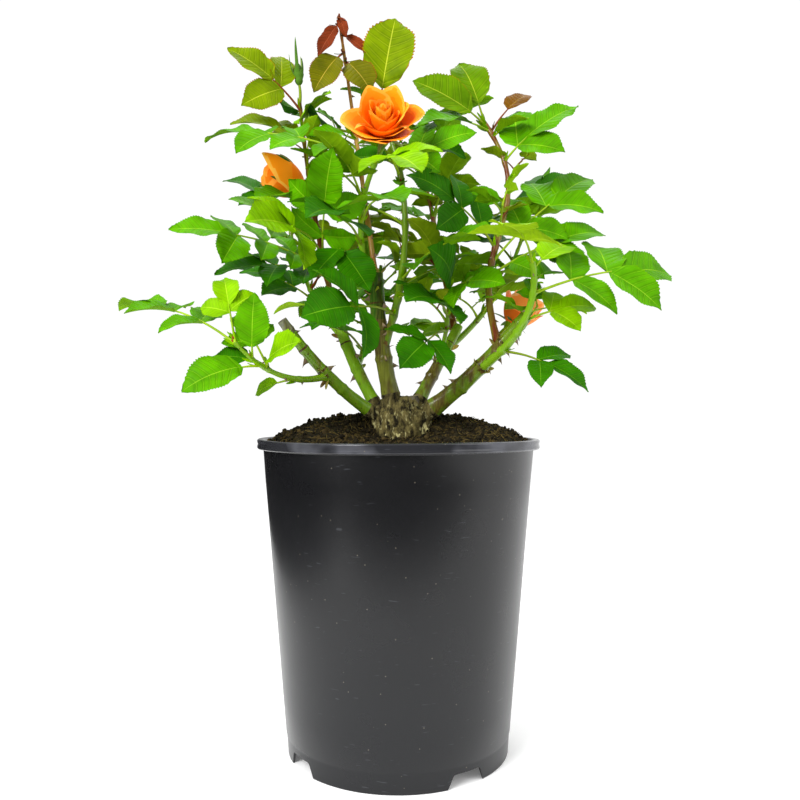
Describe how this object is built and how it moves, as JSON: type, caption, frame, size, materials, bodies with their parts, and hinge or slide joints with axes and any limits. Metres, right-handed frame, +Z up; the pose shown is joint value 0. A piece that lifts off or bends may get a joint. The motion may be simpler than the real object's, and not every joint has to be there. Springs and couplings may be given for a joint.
{
  "type": "potted rose bush",
  "caption": "Young rose bush in a deep black nursery pot, with pruned green canes, glossy compound leaves and orange blooms.",
  "frame": {"origin": "centre of the whole plant's and pot's plan, on the ground that the pot stands on", "axes": "+Z up, -Y towards the viewer of the front, +X to that viewer's right"},
  "size_m": [0.3642, 0.2369, 0.5012],
  "materials": {
    "pot_plastic": "satin black moulded pot",
    "compost": "loose fibrous peat compost",
    "bark": "rough grey-brown bark",
    "cane_rind": "smooth green rind",
    "leaf_green": "waxy green leaf"
  },
  "bodies": {
    "root": {"pot": "pot_plastic", "compost": "compost", "trunk": "bark", "cane_left": "cane_rind", "cane_left_back": "cane_rind", "cane_centre": "cane_rind", "cane_right_back": "cane_rind", "cane_right": "cane_rind", "foliage_left_low": "leaf_green", "foliage_left_top": "leaf_green", "foliage_bloom": "leaf_green", "foliage_red_tip": "leaf_green", "foliage_centre": "leaf_green", "foliage_right_middle": "leaf_green", "foliage_right_top": "leaf_green", "foliage_right_outer": "leaf_green", "foliage_back_left": "leaf_green", "foliage_back_middle": "leaf_green", "foliage_back_top": "leaf_green", "foliage_back_right": "leaf_green"}
  },
  "joints": []
}
